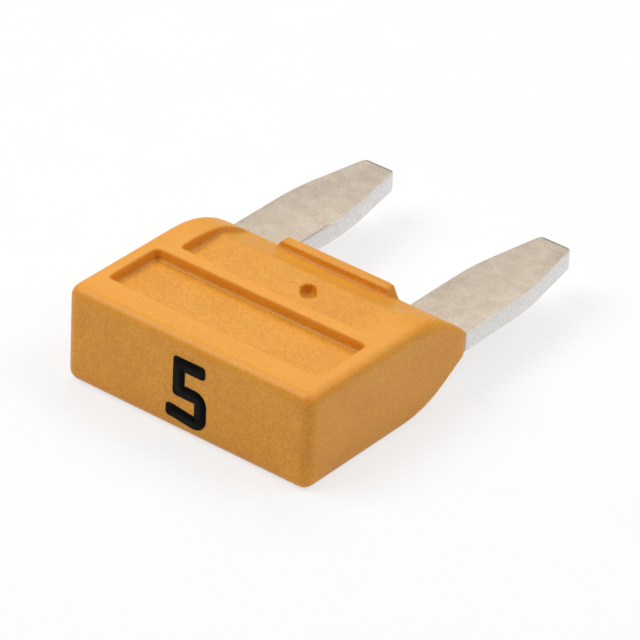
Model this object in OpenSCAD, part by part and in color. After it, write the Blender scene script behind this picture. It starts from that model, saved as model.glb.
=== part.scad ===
// Mini blade fuse, 5 A: one moulded housing on one stamped zinc element.
// It lies on a wide face: X is its width, +Y points to the blade tips, +Z is up.
// Millimetres. The origin is under the middle of the whole fuse, on the surface that it lies on.

/* [Housing] */
// Width of the housing
housing_w = 10.9; // [10.6:0.1:12]
// Length from the numbered end face to the blade end
housing_len = 8.95; // [8.6:0.05:10]
// Thickness over the two wide faces
housing_t = 3.9; // [3.6:0.05:4.4]
// Radius of the outer edges
edge_r = 0.45; // [0.2:0.05:0.6]
// Length of the stretch that tapers to the blade end
taper_len = 3.35; // [2.6:0.05:3.5]
// Share of the taper that is one wide curve, of the most that fits
bend_share = 0.95; // [0.3:0.05:0.95]
// Thickness left at the blade end
nose_t = 1.3; // [1.2:0.05:2]
// Radius of the edges at the blade end
nose_r = 0.3; // [0.1:0.05:0.3]

/* [Panels] */
// Rim between the end face and the front panel
end_rim = 1.35; // [1:0.05:1.8]
// Length of the front panel along the housing
front_panel_len = 2.65; // [2:0.05:2.9]
// Width of the side rims beside the front panel
front_rim = 0.75; // [0.6:0.05:1.4]
// Width of the rib between the two panels
rib_w = 0.6; // [0.3:0.05:0.8]
// Width of the side rims beside the rear panel
rear_rim = 1.3; // [0.8:0.05:1.6]
// Depth of both panels
panel_depth = 0.44; // [0.2:0.02:0.6]
// Distance from the rib to where the rear panel's floor starts to fall
fall_from_rib = 2.25; // [2:0.05:2.6]
// Angle at which that floor falls towards the blade end, in degrees
fall_angle = 22; // [14:1:22]
// Radius of the panel corners
panel_r = 0.2; // [0.1:0.05:0.4]

/* [Lip and pit] */
// Length of the raised lip across the housing, along its top
lip_len = 5; // [4:0.1:5.2]
// Slant of the lip's two ends, in degrees
lip_slant = 25; // [0:5:35]
// Width of the lip, measured along the housing
lip_w = 0.48; // [0.4:0.02:0.7]
// Distance of the lip from the blade end
lip_from_end = 0.4; // [0.2:0.05:0.5]
// Thickness over the two lips
lip_t = 2.8; // [2.4:0.05:3.2]
// Radius of the lip's top corners
lip_r = 0.3; // [0.1:0.05:0.4]
// Radius of the lip's rear edge
lip_edge_r = 0.12; // [0.06:0.02:0.2]
// Length of the oval pit in the rear panel
pit_len = 0.95; // [0.8:0.05:1.2]
// Width of the pit
pit_w = 0.55; // [0.4:0.05:0.7]
// Depth of the pit under the panel
pit_depth = 0.4; // [0.1:0.05:0.5]
// Direction of the pit's length, in degrees from across the housing
pit_turn = 130; // [90:5:180]
// Distance from the rib to the middle of the pit
pit_from_rib = 1.35; // [0.8:0.05:1.6]
// Distance of the pit from the middle line
pit_aside = 0.6; // [0:0.05:1.5]

/* [Blades] */
// How far each blade's outer edge lies in from the housing's side (0.075 puts the blades 8.1 apart)
blade_inset = 0.075; // [0.05:0.025:0.3]
// Width of a blade
blade_w = 2.65; // [2.4:0.05:2.9]
// Thickness of the metal strip
blade_t = 0.8; // [0.6:0.05:0.9]
// How far the blades stand out of the housing
blade_len = 7.35; // [6:0.05:8]
// Length over which the sides close in to the tip
tip_len = 4.75; // [4:0.05:5.4]
// Angle of the tapered sides at the tip, in degrees
tip_angle = 10.5; // [6:0.5:12]
// Radius of the curve that leads into the tapered sides
tip_bend_r = 12; // [4:0.5:14]
// Radius of the tip's two corners
tip_r = 0.65; // [0.2:0.05:0.7]
// Thickness of the blade at its very tip
tip_t = 0.4; // [0.2:0.05:0.5]
// Length of the bevels that thin the tip
bevel_len = 0.3; // [0.2:0.05:1]

/* [Element inside the housing] */
// Width of the narrower shank behind each blade
shank_w = 2; // [1.6:0.05:2.2]
// Plastic left between the end face and the shanks
end_wall = 1.3; // [1:0.05:1.8]
// Length of the bridge that each shank sends to the fuse link
bridge_len = 0.9; // [0.6:0.05:1.1]
// Width of the bridge where it leaves the shank
bridge_w = 0.8; // [0.6:0.05:1.2]
// Width of the fuse link
link_w = 0.4; // [0.3:0.05:0.6]
// Thickness of the fuse link after coining
link_t = 0.3; // [0.2:0.05:0.5]
// Distance from the shank's inner end to the middle of the link
link_inset = 2.6; // [2.2:0.05:3.2]

/* [Slot and chamber] */
// Clearance between the metal and its slot, on each side
slot_gap = 0.04; // [0.02:0.01:0.08]
// Height of the chamber round the fuse link
chamber_t = 1.7; // [1.2:0.05:2]
// Length of the chamber along the housing
chamber_len = 4.2; // [3.4:0.05:4.6]

/* [Hidden] */
// Facets of the rounded outer shell, and of the exact round features
shell_fn = 32;
round_fn = 48;
// Steps of an arc that is drawn as points
arc_steps = 12;
// How far a cutting shape reaches past the face that it opens
cut = 1;
// How far shapes run into each other where they meet
bite = 0.2;
mid_z = housing_t / 2;
total_len = housing_len + blade_len;
taper_y = housing_len - taper_len;
rear_panel_y = end_rim + front_panel_len + rib_w;
front_panel_w = housing_w - 2 * front_rim;
rear_panel_w = housing_w - 2 * rear_rim;
blade_x = housing_w / 2 - blade_inset - blade_w / 2;
blade_inner_x = blade_x - blade_w / 2;
shank_x = blade_inner_x + shank_w / 2;
shank_len = housing_len - end_wall;
slot_t = blade_t + 2 * slot_gap;
link_y = end_wall + link_inset;
// Mean radius of the two half rings that make the S between the two bridges
link_r = (blade_inner_x - bridge_len) / 2;

// Copies a shape made for the upper wide face to the lower one as well
module both_wide_faces() {
    children();
    translate([0, 0, housing_t])
        mirror([0, 0, 1])
            children();
}

// A flat rectangle with true round corners, centred across X and starting at Y 0
module rounded_panel(w, l, r) {
    translate([-w / 2 + r, 0])
        square([w - 2 * r, l]);
    translate([-w / 2, r])
        square([w, l - 2 * r]);
    for (x = [-w / 2 + r, w / 2 - r], y = [r, l - r])
        translate([x, y])
            circle(r, $fn = round_fn);
}

// A ball whose poles and equator lie exactly at its radius, so that the flats keep their full size
module corner_ball(r) {
    rotate_extrude($fn = shell_fn)
        intersection() {
            circle(r, $fn = shell_fn);
            translate([0, -r])
                square([r, 2 * r]);
        }
}

// How much the taper takes off each wide face
taper_drop = (housing_t - nose_t) / 2;
// Radius of the bend, which is largest where the curve runs right up to the round nose
bend_r = nose_r + bend_share * (pow(taper_len - nose_r, 2) + pow(taper_drop, 2)) / (2 * taper_drop);
// Angle of the straight part, which touches both the bend and the nose
straight = [taper_len - nose_r, bend_r - nose_r - taper_drop];
taper_angle = atan2(straight[0], straight[1]) - acos((bend_r - nose_r) / norm(straight));
bend_steps = 5;

// One ball in each of the four corners of a cross-section at y, whose half height is half_t
module corner_balls(y, half_t, r) {
    for (side = [-1, 1], face = [-1, 1])
        translate([side * (housing_w / 2 - r), y, mid_z + face * (half_t - r)])
            corner_ball(r);
}

// The outside of the moulding: a block with round edges that bends into a taper on both wide faces
module shell() {
    hull() {
        corner_balls(edge_r, housing_t / 2, edge_r);
        for (i = [0 : bend_steps]) {
            turn = taper_angle * i / bend_steps;
            y = taper_y + (bend_r - edge_r) * sin(turn);
            drop = (bend_r - edge_r) * (1 - cos(turn));
            corner_balls(y, housing_t / 2 - drop, edge_r);
        }
        corner_balls(housing_len - nose_r, nose_t / 2, nose_r);
    }
}

// The recesses of a wide face, both as deep as panel_depth; the rear one's floor then falls to the blade end
module panel_cuts() {
    fall_y = rear_panel_y + fall_from_rib;
    fall_len = housing_len - fall_y + cut;
    translate([0, 0, housing_t - panel_depth])
        linear_extrude(panel_depth + cut) {
            translate([0, end_rim])
                rounded_panel(front_panel_w, front_panel_len, panel_r);
            translate([0, rear_panel_y])
                rounded_panel(rear_panel_w, housing_len, panel_r);
        }
    translate([-rear_panel_w / 2, fall_y, housing_t - panel_depth])
        rotate([90, 0, 90])
            linear_extrude(rear_panel_w)
                polygon([[0, 0], [fall_len, -fall_len * tan(fall_angle)], [fall_len, bite], [0, bite]]);
}

// The oval pit in the rear panel of the upper face
module pit_cut() {
    reach = pit_len - pit_w;
    translate([pit_aside, rear_panel_y + pit_from_rib, housing_t - panel_depth - pit_depth])
        rotate(pit_turn)
            linear_extrude(pit_depth + cut) {
                square([reach, pit_w], center = true);
                for (end = [-1, 1])
                    translate([end * reach / 2, 0])
                        circle(d = pit_w, $fn = round_fn);
            }
}

// Points of an arc about c from angle a to angle b
function arc(c, r, a, b) = [
    for (i = [0 : arc_steps])
        let (turn = a + (b - a) * i / arc_steps)
            c + r * [cos(turn), sin(turn)]
];

// The same points mirrored across the middle line, in reverse order
function mirrored(points) = [for (i = [len(points) - 1 : -1 : 0]) [-points[i][0], points[i][1]]];

// The lip seen from the blade end, on the middle of the housing: slanted ends and round top corners
module lip_face() {
    corner = [lip_len / 2 - lip_r, lip_t / 2 - lip_r];
    right = arc(corner, lip_r, lip_slant, 90);
    foot = [right[0][0] + right[0][1] * tan(lip_slant), 0];
    side = concat([foot], right);
    polygon(concat(side, mirrored(side)));
}

// The raised bar between the blades, with a round rear edge
module lip() {
    intersection() {
        translate([0, housing_len - lip_from_end, mid_z])
            rotate([90, 0, 0])
                linear_extrude(lip_w)
                    lip_face();
        translate([-lip_len, 0, mid_z])
            rotate([90, 0, 90])
                linear_extrude(2 * lip_len)
                    translate([housing_len / 2 - lip_from_end, -lip_t / 2])
                        rounded_panel(housing_len, lip_t, lip_edge_r);
    }
}

// The flat slot that takes the whole stamping, and the chamber that keeps the link free
module element_cuts() {
    slot_w = 2 * (shank_x + shank_w / 2 + slot_gap);
    translate([-slot_w / 2, end_wall - slot_gap, mid_z - slot_t / 2])
        cube([slot_w, shank_len + slot_gap + cut, slot_t]);
    translate([-blade_inner_x, link_y - chamber_len / 2, mid_z - chamber_t / 2])
        cube([2 * blade_inner_x, chamber_len, chamber_t]);
}

module housing() {
    color([0.93, 0.62, 0.25])
        difference() {
            union() {
                difference() {
                    shell();
                    both_wide_faces()
                        panel_cuts();
                    pit_cut();
                }
                both_wide_faces()
                    lip();
            }
            element_cuts();
        }
}

// One blade seen from above, centred on X: each side is straight, then a curve, a taper and a round corner
module blade_outline() {
    bend_c = [blade_w / 2 - tip_bend_r, blade_len - tip_len];
    reach = blade_len - tip_r - bend_c[1];
    corner_x = bend_c[0] + (tip_bend_r - tip_r - reach * sin(tip_angle)) / cos(tip_angle);
    right = concat(
        [[blade_w / 2, 0]],
        arc(bend_c, tip_bend_r, 0, tip_angle),
        arc([corner_x, blade_len - tip_r], tip_r, tip_angle, 90)
    );
    polygon(concat(right, mirrored(right)));
}

// One blade: the outline cut by a side profile whose tip is bevelled on both faces
module blade() {
    intersection() {
        translate([0, 0, -blade_t / 2])
            linear_extrude(blade_t)
                blade_outline();
        translate([-blade_w / 2, 0, 0])
            rotate([90, 0, 90])
                linear_extrude(blade_w)
                    polygon([
                        [0, -blade_t / 2],
                        [blade_len - bevel_len, -blade_t / 2],
                        [blade_len, -tip_t / 2],
                        [blade_len, tip_t / 2],
                        [blade_len - bevel_len, blade_t / 2],
                        [0, blade_t / 2]
                    ]);
    }
}

// The fuse link seen from above: an S of two half rings, and a bridge that widens to each shank
module link_outline() {
    outer_r = link_r + link_w / 2;
    inner_r = link_r - link_w / 2;
    end_x = blade_inner_x + bite;
    half = concat(
        [[-end_x, 0]],
        arc([-link_r, 0], outer_r, 180, 360),
        arc([link_r, 0], inner_r, 180, 0),
        [[blade_inner_x, -bridge_w], [end_x, -bridge_w]]
    );
    polygon(concat(half, [for (point = half) -point]));
}

module fuse_element() {
    color([0.78, 0.77, 0.74])
        union() {
            for (side = [-1, 1]) {
                translate([side * blade_x, housing_len, mid_z])
                    blade();
                translate([side * shank_x - shank_w / 2, end_wall, mid_z - blade_t / 2])
                    cube([shank_w, shank_len + bite, blade_t]);
            }
            translate([0, link_y, mid_z - link_t / 2])
                linear_extrude(link_t)
                    link_outline();
        }
}

// Sets the origin under the middle of the whole fuse
module placed() {
    translate([0, -total_len / 2, 0])
        children();
}

placed() housing();
placed() fuse_element();
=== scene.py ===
import math

import bmesh
import bpy
from mathutils import Matrix, Vector


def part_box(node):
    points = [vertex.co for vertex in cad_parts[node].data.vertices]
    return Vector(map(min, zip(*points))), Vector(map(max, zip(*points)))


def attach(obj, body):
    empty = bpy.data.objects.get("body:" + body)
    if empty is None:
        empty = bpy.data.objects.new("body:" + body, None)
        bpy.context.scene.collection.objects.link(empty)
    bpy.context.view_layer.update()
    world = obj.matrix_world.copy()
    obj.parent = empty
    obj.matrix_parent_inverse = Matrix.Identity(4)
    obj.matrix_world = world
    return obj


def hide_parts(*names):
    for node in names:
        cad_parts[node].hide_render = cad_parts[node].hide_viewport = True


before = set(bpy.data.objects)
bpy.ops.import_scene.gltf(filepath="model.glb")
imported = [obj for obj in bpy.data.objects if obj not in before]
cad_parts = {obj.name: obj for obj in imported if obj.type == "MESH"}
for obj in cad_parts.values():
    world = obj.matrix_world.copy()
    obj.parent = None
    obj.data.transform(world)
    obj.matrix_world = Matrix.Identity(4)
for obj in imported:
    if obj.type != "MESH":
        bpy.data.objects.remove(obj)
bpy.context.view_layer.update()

scene = bpy.context.scene

# Housing of the fuse: one injection moulding of opaque orange nylon, with the same panels in both wide
# faces. Each edge has the small soft radius of its mould, and the skin carries the fine spark-eroded grain
# of the tool.
MM = 0.001
# corners of a mesh that are nearer than this, in metres, are one corner
SAME_PLACE = 1e-7
low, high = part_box("housing")
middle_z = (low[2] + high[2]) / 2
half_thickness = (high[2] - low[2]) / 2


def linear(hex_colour):
    """Turns an sRGB hex colour into the linear colour that a shader takes."""
    parts = [int(hex_colour[i:i + 2], 16) / 255 for i in (1, 3, 5)]
    return tuple(p / 12.92 if p <= 0.04045 else ((p + 0.055) / 1.055) ** 2.4 for p in parts) + (1.0,)


def add_node(tree, kind, settings=None, stops=None, **links):
    """Adds one node and sets its properties, the stops of its ramp and its sockets. A socket is named with
    underscores for spaces, or by its index as _0. It takes a value, an output, or a list of outputs."""
    node = tree.nodes.new(kind)
    for name, value in (settings or {}).items():
        setattr(node, name, value)
    if stops:
        for element, (position, hex_colour) in zip(node.color_ramp.elements, stops):
            element.position = position
            element.color = linear(hex_colour)
    for name, value in links.items():
        by_index = name[1:].isdigit()
        socket = node.inputs[int(name[1:]) if by_index else name.replace("_", " ")]
        sources = value if isinstance(value, list) else [value]
        if isinstance(sources[0], bpy.types.NodeSocket):
            for source in sources:
                tree.links.new(source, socket)
        else:
            socket.default_value = value
    return node


def new_material(name):
    """An empty material and its node tree."""
    material = bpy.data.materials.new(name)
    material.use_nodes = True
    material.node_tree.nodes.clear()
    return material, material.node_tree


def new_piece(name, mesh, *materials):
    """A finished piece at the origin, with its materials in the order of its slots."""
    mesh.name = name
    mesh.materials.clear()
    for material in materials:
        mesh.materials.append(material)
    piece = bpy.data.objects.new(name, mesh)
    scene.collection.objects.link(piece)
    return piece


# Opaque orange nylon, as moulded: an even pigment with a satin sheen. Light enters the skin by a few tenths
# of a millimetre, which makes the shaded walls of the recesses deep orange.
moulded_orange, tree = new_material("moulded_orange_nylon")
place = add_node(tree, "ShaderNodeTexCoord").outputs["Object"]
# flow marks and uneven pigment: clouds about 2 mm across
clouds = add_node(tree, "ShaderNodeTexNoise",
                  Vector=place, Scale=1 / (2.0 * MM), Detail=3.0, Roughness=0.55)
pigment = add_node(tree, "ShaderNodeValToRGB", stops=[(0.3, "#ECA230"), (0.7, "#F4AD38")],
                   Fac=clouds.outputs["Fac"])
# spark-eroded grain, really 0.03 mm: drawn 0.07 mm apart, as coarse as the render needs to show it
grain = add_node(tree, "ShaderNodeTexNoise",
                 Vector=place, Scale=1 / (0.07 * MM), Detail=2.0, Roughness=0.6)
speckle = add_node(tree, "ShaderNodeValToRGB", stops=[(0.34, "#E5DCCF"), (0.66, "#FFFFFF")],
                   Fac=grain.outputs["Fac"])
grained = add_node(tree, "ShaderNodeMix", {"data_type": "RGBA", "blend_type": "MULTIPLY"},
                   Factor=1.0, _6=pigment.outputs["Color"], _7=speckle.outputs["Color"])
# rims and rib stand highest and are painted slightly lighter: painted light for the brighter light they
# catch above the shaded floors of the panels. The painted light starts at the first depth under the wide
# face, and is complete from the second
RIM_LIGHT_FROM = 0.35 * MM
RIM_LIGHT_FULLY = 0.07 * MM
height = add_node(tree, "ShaderNodeSeparateXYZ", Vector=place)
from_middle = add_node(tree, "ShaderNodeMath", {"operation": "SUBTRACT"},
                       _0=height.outputs["Z"], _1=middle_z)
off_middle = add_node(tree, "ShaderNodeMath", {"operation": "ABSOLUTE"}, _0=from_middle.outputs["Value"])
painted_rim_light = add_node(tree, "ShaderNodeMapRange", Value=off_middle.outputs["Value"], To_Max=0.5,
                  From_Min=half_thickness - RIM_LIGHT_FROM, From_Max=half_thickness - RIM_LIGHT_FULLY)
# painted light: the highest faces are mixed towards a lighter orange
orange = add_node(tree, "ShaderNodeMix", {"data_type": "RGBA"},
                  _0=painted_rim_light.outputs["Result"], _6=grained.outputs["Result"], _7=linear("#F9AB3C"))
skin = add_node(tree, "ShaderNodeBump", Strength=0.35, Distance=0.012 * MM, Height=grain.outputs["Fac"])
satin = add_node(tree, "ShaderNodeMapRange", Value=grain.outputs["Fac"], To_Min=0.38, To_Max=0.5)
plastic = add_node(tree, "ShaderNodeBsdfPrincipled", Base_Color=orange.outputs["Result"],
                   Roughness=satin.outputs["Result"], Normal=skin.outputs["Normal"],
                   IOR=1.53, Specular_IOR_Level=0.35, Subsurface_Weight=0.35,
                   Subsurface_Radius=(1.0, 0.35, 0.08), Subsurface_Scale=0.35 * MM)
add_node(tree, "ShaderNodeOutputMaterial", Surface=plastic.outputs["BSDF"])

# side of the skin's cells in mm, and smoothing steps: they ease a sharp edge to a radius of about 0.1 mm
SKIN_CELL = 0.065
EASE_STEPS = 4
# the slot's mouth stays open to this depth in mm; behind it nothing can be seen, so a block closes the slot
MOUTH_DEPTH = 1.0
CLOSURE = (9.7, 0.6, 0.96)


def eased_skin(solid, cell, steps, closure_middle, closure_size):
    """A closed mesh of even cells over a solid, with its edges eased by smoothing. It is worked in
    millimetres, because the remesh can't take cells this small in metres. The closure is a block that
    shuts off the hidden room."""
    copy = solid.data.copy()
    body = bmesh.new()
    body.from_mesh(copy)
    bmesh.ops.remove_doubles(body, verts=body.verts, dist=SAME_PLACE)
    bmesh.ops.scale(body, vec=(1 / MM, 1 / MM, 1 / MM), verts=body.verts)
    closure = Matrix.Translation(closure_middle) @ Matrix.Diagonal((*closure_size, 1))
    bmesh.ops.create_cube(body, size=1, matrix=closure)
    body.to_mesh(copy)
    body.free()
    rough = bpy.data.objects.new("skin_rough", copy)
    scene.collection.objects.link(rough)
    cells = rough.modifiers.new("cells", "REMESH")
    cells.mode = "VOXEL"
    cells.voxel_size = cell
    ease = rough.modifiers.new("ease", "SMOOTH")
    ease.factor = 0.5
    ease.iterations = steps
    view = bpy.context.evaluated_depsgraph_get()
    skin_mesh = bpy.data.meshes.new_from_object(rough.evaluated_get(view))
    bpy.data.objects.remove(rough)
    skin_mesh.transform(Matrix.Scale(MM, 4))
    skin_mesh.shade_smooth()
    return skin_mesh


closure_middle = (0, high[1] / MM - MOUTH_DEPTH - CLOSURE[1] / 2, middle_z / MM)
housing_skin = eased_skin(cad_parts["housing"], SKIN_CELL, EASE_STEPS, closure_middle, CLOSURE)
moulding = new_piece("housing_moulding", housing_skin, moulded_orange)
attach(moulding, "root")
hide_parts("housing")

# Fuse element: one stamping of zinc alloy strip, pushed into the slot with both blades left outside. The
# punch rounds the edges and leaves bright cut sides, painted paler still as painted reflection, and the
# blades' tips are coined to a bevel.
EDGE_ROUND = 0.07 * MM
# an edge of the blades is rounded where its faces meet at more than this
ROUND_FROM = math.radians(25)
# an edge of the finished stamping looks sharp from this, and faces within the next are one plane
SHARP_FROM = math.radians(32)
SAME_PLANE = math.radians(0.5)
# a blade's edges start past the housing's end, less this
END_MARGIN = 0.01 * MM
# a shoulder is longer across than this, and lies nearer to the housing's end than this
SHOULDER = 0.1 * MM
# a face counts as rolled where its normal's upright part is at least this
ROLLED_FACE = 0.9

# Rolled zinc alloy, left bare: a dull film, slightly warm and cloudy, with fine marks of the rolls.
rolled_zinc, tree = new_material("rolled_zinc_strip")
place = add_node(tree, "ShaderNodeTexCoord").outputs["Object"]
# cloudy film: patches about half a millimetre across
film = add_node(tree, "ShaderNodeTexNoise",
                Vector=place, Scale=1 / (0.55 * MM), Detail=4.0, Roughness=0.6)
# roll marks and pits: drawn 0.09 mm apart, as coarse as the render needs to show them
marks = add_node(tree, "ShaderNodeTexNoise",
                 Vector=place, Scale=1 / (0.09 * MM), Detail=2.0, Roughness=0.5)
tone = add_node(tree, "ShaderNodeMix", {"data_type": "FLOAT"},
                Factor=0.5, _2=film.outputs["Fac"], _3=marks.outputs["Fac"])
zinc_colour = add_node(tree, "ShaderNodeValToRGB", stops=[(0.34, "#CABBA8"), (0.64, "#E1D5C6")],
                       Fac=tone.outputs["Result"])
dull = add_node(tree, "ShaderNodeMapRange", Value=marks.outputs["Fac"], To_Min=0.55, To_Max=0.72)
pits = add_node(tree, "ShaderNodeBump", Strength=0.3, Distance=0.01 * MM, Height=tone.outputs["Result"])
zinc = add_node(tree, "ShaderNodeBsdfPrincipled", Base_Color=zinc_colour.outputs["Color"], Metallic=1.0,
                Roughness=dull.outputs["Result"], Normal=pits.outputs["Normal"])
add_node(tree, "ShaderNodeOutputMaterial", Surface=zinc.outputs["BSDF"])

# Sheared and coined zinc: fresh metal without the film, torn very finely, so it scatters a neutral, pale
# light. It is painted paler than the metal and half diffuse: painted reflection of the pale surroundings on
# the steep faces of the blades.
cut_zinc_with_painted_reflection, tree = new_material("cut_zinc_painted_reflection")
place = add_node(tree, "ShaderNodeTexCoord").outputs["Object"]
# tears of the shear: about a tenth of a millimetre
tears = add_node(tree, "ShaderNodeTexNoise",
                 Vector=place, Scale=1 / (0.12 * MM), Detail=3.0, Roughness=0.6)
# painted reflection: the cut sides are drawn paler than the metal's own colour
bare_and_reflection_colour = add_node(tree, "ShaderNodeValToRGB", stops=[(0.35, "#E9E7E4"), (0.65, "#FBFAF8")],
                       Fac=tears.outputs["Fac"])
torn = add_node(tree, "ShaderNodeMapRange", Value=tears.outputs["Fac"], To_Min=0.52, To_Max=0.68)
burr = add_node(tree, "ShaderNodeBump", Strength=0.3, Distance=0.01 * MM, Height=tears.outputs["Fac"])
bare = add_node(tree, "ShaderNodeBsdfPrincipled", Base_Color=bare_and_reflection_colour.outputs["Color"], Metallic=0.5,
                Roughness=torn.outputs["Result"], Normal=burr.outputs["Normal"])
add_node(tree, "ShaderNodeOutputMaterial", Surface=bare.outputs["BSDF"])

stamping_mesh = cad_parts["fuse_element"].data.copy()
strip = bmesh.new()
strip.from_mesh(stamping_mesh)
bmesh.ops.remove_doubles(strip, verts=strip.verts, dist=SAME_PLACE)
bmesh.ops.dissolve_limit(strip, angle_limit=SAME_PLANE, verts=strip.verts, edges=strip.edges)


def on_blade(edge):
    """Whether an edge lies on a blade, outside the housing and not along its shoulders."""
    start, end = (vertex.co for vertex in edge.verts)
    outside = min(start.y, end.y) > high[1] - END_MARGIN
    shoulder = abs(start.x - end.x) > SHOULDER and max(start.y, end.y) < high[1] + SHOULDER
    return outside and not shoulder


blade_edges = [edge for edge in strip.edges
               if len(edge.link_faces) == 2 and edge.calc_face_angle(0) > ROUND_FROM and on_blade(edge)]
bmesh.ops.bevel(strip, geom=blade_edges, affect="EDGES", offset=EDGE_ROUND, offset_type="OFFSET",
                segments=3, profile=0.5, clamp_overlap=False)
bmesh.ops.recalc_face_normals(strip, faces=strip.faces)
strip.to_mesh(stamping_mesh)
strip.free()
element = new_piece("element_stamping", stamping_mesh, rolled_zinc, cut_zinc_with_painted_reflection)
# only the rolled faces lie flat; whatever is steeper was cut, rounded or coined, and takes the sheared zinc
# with its painted reflection
for face in stamping_mesh.polygons:
    face.material_index = int(abs(face.normal.z) < ROLLED_FACE)
stamping_mesh.shade_smooth()
stamping_mesh.set_sharp_from_angle(angle=SHARP_FROM)
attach(element, "root")
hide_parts("fuse_element")

# Rating on the end face: the numeral 5, pad-printed in black ink on the finished moulding.
# The stroke is even. Its ends and its two left corners are squarish, and the bowl turns in wide corners.
STROKE = 0.52 * MM
INK = 0.04 * MM
BLOCK_CORNER = 0.15 * MM
# corners of the stroke's middle line in mm: x to the right, z up, and the radius of the turn
NUMERAL = [(0.62, 2.88, 0), (-0.28, 2.88, 0), (-0.28, 1.8, 0), (0.71, 1.8, 0.26), (0.71, 0.71, 0.28),
           (-0.56, 0.86, 0)]
# tightest turn as a share of the stroke: in less than half of it, the inner side would fold over itself
TIGHTEST_TURN = 0.52
# each half of a block as a share of the ink's thickness: under half, so it never lies in the band's face
BLOCK_HALF = 0.45
# a smaller turn than this is none
NO_TURN = 0.01 * MM

# Two-part pad-printing ink: black and matt, and a little duller where it lies thin.
ink, tree = new_material("pad_print_ink")
place = add_node(tree, "ShaderNodeTexCoord").outputs["Object"]
cover = add_node(tree, "ShaderNodeTexNoise", Vector=place, Scale=1 / (0.15 * MM), Detail=3.0)
black = add_node(tree, "ShaderNodeValToRGB", stops=[(0.3, "#030202"), (0.75, "#0B0907")],
                 Fac=cover.outputs["Fac"])
matt_ink = add_node(tree, "ShaderNodeMapRange", Value=cover.outputs["Fac"], To_Min=0.45, To_Max=0.6)
print_film = add_node(tree, "ShaderNodeBsdfPrincipled", Base_Color=black.outputs["Color"],
                      Roughness=matt_ink.outputs["Result"], Specular_IOR_Level=0.06)
add_node(tree, "ShaderNodeOutputMaterial", Surface=print_film.outputs["BSDF"])


def printed_stroke_tree(ink_material):
    """A node tree that prints a stroke along a curve: a flat band of even width that turns each corner in
    the radius of its point, and a squarish block of ink at each point without a turn."""
    tree = bpy.data.node_groups.new("printed_stroke", "GeometryNodeTree")
    sizes = {}
    tree.interface.new_socket("Path", in_out="INPUT", socket_type="NodeSocketGeometry")
    for name in ("Stroke width", "Ink thickness", "Block corner"):
        size = tree.interface.new_socket(name, in_out="INPUT", socket_type="NodeSocketFloat")
        sizes[name] = size.identifier
    tree.interface.new_socket("Print", in_out="OUTPUT", socket_type="NodeSocketGeometry")
    given = add_node(tree, "NodeGroupInput").outputs
    turn = add_node(tree, "GeometryNodeInputRadius").outputs["Radius"]
    tightest = add_node(tree, "ShaderNodeMath", {"operation": "MULTIPLY"},
                        _0=given["Stroke width"], _1=TIGHTEST_TURN)
    open_turn = add_node(tree, "ShaderNodeMath", {"operation": "MAXIMUM"},
                         _0=turn, _1=tightest.outputs["Value"])
    rounded_path = add_node(tree, "GeometryNodeFilletCurve", {"mode": "POLY"}, Limit_Radius=True,
                            Curve=given["Path"], Radius=open_turn.outputs["Value"], Count=8)
    # the profile stands across the path: its first side is the ink's thickness, its second the stroke
    band_profile = add_node(tree, "GeometryNodeCurvePrimitiveQuadrilateral",
                            Width=given["Ink thickness"], Height=given["Stroke width"])
    band = add_node(tree, "GeometryNodeCurveToMesh", Curve=rounded_path.outputs["Curve"],
                    Profile_Curve=band_profile.outputs["Curve"], Fill_Caps=True)
    square = add_node(tree, "GeometryNodeCurvePrimitiveQuadrilateral",
                      Width=given["Stroke width"], Height=given["Stroke width"])
    block_profile = add_node(tree, "GeometryNodeFilletCurve", {"mode": "POLY"},
                             Curve=square.outputs["Curve"], Radius=given["Block corner"], Count=6)
    front = add_node(tree, "ShaderNodeMath", {"operation": "MULTIPLY"},
                     _0=given["Ink thickness"], _1=-BLOCK_HALF)
    rear = add_node(tree, "ShaderNodeMath", {"operation": "MULTIPLY"},
                    _0=given["Ink thickness"], _1=BLOCK_HALF)
    start = add_node(tree, "ShaderNodeCombineXYZ", Y=front.outputs["Value"])
    end = add_node(tree, "ShaderNodeCombineXYZ", Y=rear.outputs["Value"])
    through = add_node(tree, "GeometryNodeCurvePrimitiveLine",
                       Start=start.outputs["Vector"], End=end.outputs["Vector"])
    block = add_node(tree, "GeometryNodeCurveToMesh", Curve=through.outputs["Curve"],
                     Profile_Curve=block_profile.outputs["Curve"], Fill_Caps=True)
    no_turn = add_node(tree, "FunctionNodeCompare", {"operation": "LESS_THAN"}, _0=turn, _1=NO_TURN)
    blocks = add_node(tree, "GeometryNodeInstanceOnPoints", Points=given["Path"],
                      Selection=no_turn.outputs["Result"], Instance=block.outputs["Mesh"])
    joined = add_node(tree, "GeometryNodeJoinGeometry",
                      Geometry=[band.outputs["Mesh"], blocks.outputs["Instances"]])
    real = add_node(tree, "GeometryNodeRealizeInstances", Geometry=joined.outputs["Geometry"])
    inked = add_node(tree, "GeometryNodeSetMaterial",
                     Geometry=real.outputs["Geometry"], Material=ink_material)
    add_node(tree, "NodeGroupOutput", _0=inked.outputs["Geometry"])
    return tree, sizes


def numeral_path(corners, y):
    """The stroke's middle line as a curve at one y. The radius of a point is the radius of its turn."""
    curve = bpy.data.curves.new("numeral_path", "CURVE")
    curve.dimensions = "3D"
    spline = curve.splines.new("POLY")
    spline.points.add(len(corners) - 1)
    for point, (x, z, turn) in zip(spline.points, corners):
        point.co = (x * MM, y, z * MM, 1)
        point.radius = turn * MM
    return bpy.data.objects.new("numeral_path", curve)


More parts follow.
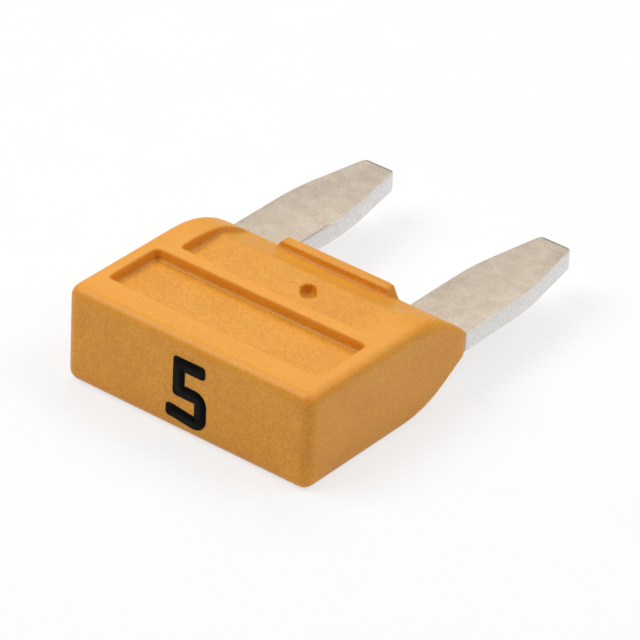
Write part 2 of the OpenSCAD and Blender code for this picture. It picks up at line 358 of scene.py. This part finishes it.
path = numeral_path(NUMERAL, low[1])
scene.collection.objects.link(path)
stroke_tree, stroke_sizes = printed_stroke_tree(ink)
printing = path.modifiers.new("printed_stroke", "NODES")
printing.node_group = stroke_tree
printing[stroke_sizes["Stroke width"]] = STROKE
printing[stroke_sizes["Ink thickness"]] = INK
printing[stroke_sizes["Block corner"]] = BLOCK_CORNER
view = bpy.context.evaluated_depsgraph_get()
numeral_mesh = bpy.data.meshes.new_from_object(path.evaluated_get(view))
bpy.data.objects.remove(path)
outward = bmesh.new()
outward.from_mesh(numeral_mesh)
bmesh.ops.remove_doubles(outward, verts=outward.verts, dist=SAME_PLACE)
bmesh.ops.recalc_face_normals(outward, faces=outward.faces)
outward.to_mesh(numeral_mesh)
outward.free()
numeral = new_piece("numeral_5", numeral_mesh, ink)
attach(numeral, "root")

# Table: a plain pale sheet under the fuse that runs on well out of the picture. The camera and the
# reflections see it nearly white, as the background of the photograph, with the soft shadow of the fuse.
REACH = 3.0
# share of plain white in what the camera and the reflections see; the lamps light and shade the rest
WHITE_SHARE = 0.7
pale_sheet, tree = new_material("pale_matt_sheet")
place = add_node(tree, "ShaderNodeTexCoord").outputs["Object"]
# paper clouds: about 3 mm across
fibre = add_node(tree, "ShaderNodeTexNoise", Vector=place, Scale=1 / (3.0 * MM), Detail=2.0)
paper = add_node(tree, "ShaderNodeValToRGB", stops=[(0.3, "#F7F7F6"), (0.7, "#FAFAFA")],
                 Fac=fibre.outputs["Fac"])
matt = add_node(tree, "ShaderNodeBsdfDiffuse", Color=paper.outputs["Color"])
white = add_node(tree, "ShaderNodeEmission", Color=linear("#FFFFFF"), Strength=1.0)
ray = add_node(tree, "ShaderNodeLightPath").outputs
mirrored = add_node(tree, "ShaderNodeMath", {"operation": "MAXIMUM"},
                    _0=ray["Is Glossy Ray"], _1=ray["Is Transmission Ray"])
seen = add_node(tree, "ShaderNodeMath", {"operation": "MAXIMUM"},
                _0=ray["Is Camera Ray"], _1=mirrored.outputs["Value"])
share = add_node(tree, "ShaderNodeMath", {"operation": "MULTIPLY"},
                 _0=seen.outputs["Value"], _1=WHITE_SHARE)
both = add_node(tree, "ShaderNodeMixShader", Fac=share.outputs["Value"],
                _1=matt.outputs["BSDF"], _2=white.outputs["Emission"])
add_node(tree, "ShaderNodeOutputMaterial", Surface=both.outputs["Shader"])
table_mesh = bpy.data.meshes.new("table_sheet")
table_corners = [(-REACH, -REACH, 0), (REACH, -REACH, 0), (REACH, REACH, 0), (-REACH, REACH, 0)]
table_mesh.from_pydata(table_corners, [], [(0, 1, 2, 3)])
new_piece("table_sheet", table_mesh, pale_sheet)

# Studio light: three high soft boxes round the fuse, and a weak low one behind it on the left. The upper
# faces look about half as bright again as the sides, and the pale room fills the rest.
world = bpy.data.worlds.new("pale_room")
scene.world = world
world.use_nodes = True
world.node_tree.nodes.clear()
room = add_node(world.node_tree, "ShaderNodeBackground", Color=linear("#FFFEFC"), Strength=0.13)
add_node(world.node_tree, "ShaderNodeOutputWorld", Surface=room.outputs["Background"])
# distance and side of each soft box
LAMP_DISTANCE = 0.18
SOFT_BOX = 0.11


def bearing(azimuth, elevation):
    """The direction from the fuse to what stands at these degrees: round it from its end face, and up."""
    round_angle, up_angle = math.radians(azimuth), math.radians(elevation)
    level = math.cos(up_angle)
    return Vector((math.sin(round_angle) * level, -math.cos(round_angle) * level, math.sin(up_angle)))


def soft_box(name, azimuth, elevation, watts):
    """A square lamp at a bearing, aimed at the middle of the fuse."""
    light = bpy.data.lights.new(name, "AREA")
    light.shape = "SQUARE"
    light.size = SOFT_BOX
    light.energy = watts
    lamp = bpy.data.objects.new(name, light)
    direction = bearing(azimuth, elevation)
    lamp.location = Vector((0, 0, middle_z)) + direction * LAMP_DISTANCE
    lamp.rotation_euler = direction.to_track_quat("Z", "Y").to_euler()
    scene.collection.objects.link(lamp)


soft_box("front_left_lamp", azimuth=-45, elevation=54, watts=0.18)
soft_box("right_lamp", azimuth=122, elevation=52, watts=0.125)
soft_box("rear_left_lamp", azimuth=-155, elevation=54, watts=0.085)
soft_box("low_left_lamp", azimuth=-125, elevation=27, watts=0.02)

# Camera: the photograph was taken with a long lens, here from 0.17 m, 37 degrees round and 32 degrees up.
# Its bearing, roll, lens and aim come from a fit to edges and corners of the fuse.
CAMERA_DISTANCE = 0.17
AZIMUTH = 37.088
ELEVATION = 32.179
roll = math.radians(2.946)
aim = Vector((2.128, -3.465, 3.486)) * MM
back = bearing(AZIMUTH, ELEVATION)
level_right = Vector((math.cos(math.radians(AZIMUTH)), math.sin(math.radians(AZIMUTH)), 0))
level_up = back.cross(level_right)
right = math.cos(roll) * level_right + math.sin(roll) * level_up
up = -math.sin(roll) * level_right + math.cos(roll) * level_up
lens = bpy.data.cameras.new("product_camera")
lens.sensor_width = 36
lens.lens = 275.83
lens.clip_start = 0.005
camera = bpy.data.objects.new("product_camera", lens)
turned = Matrix((right, up, back)).transposed().to_4x4()
camera.matrix_world = Matrix.Translation(aim + back * CAMERA_DISTANCE) @ turned
scene.collection.objects.link(camera)
scene.camera = camera
scene.view_settings.view_transform = "Standard"
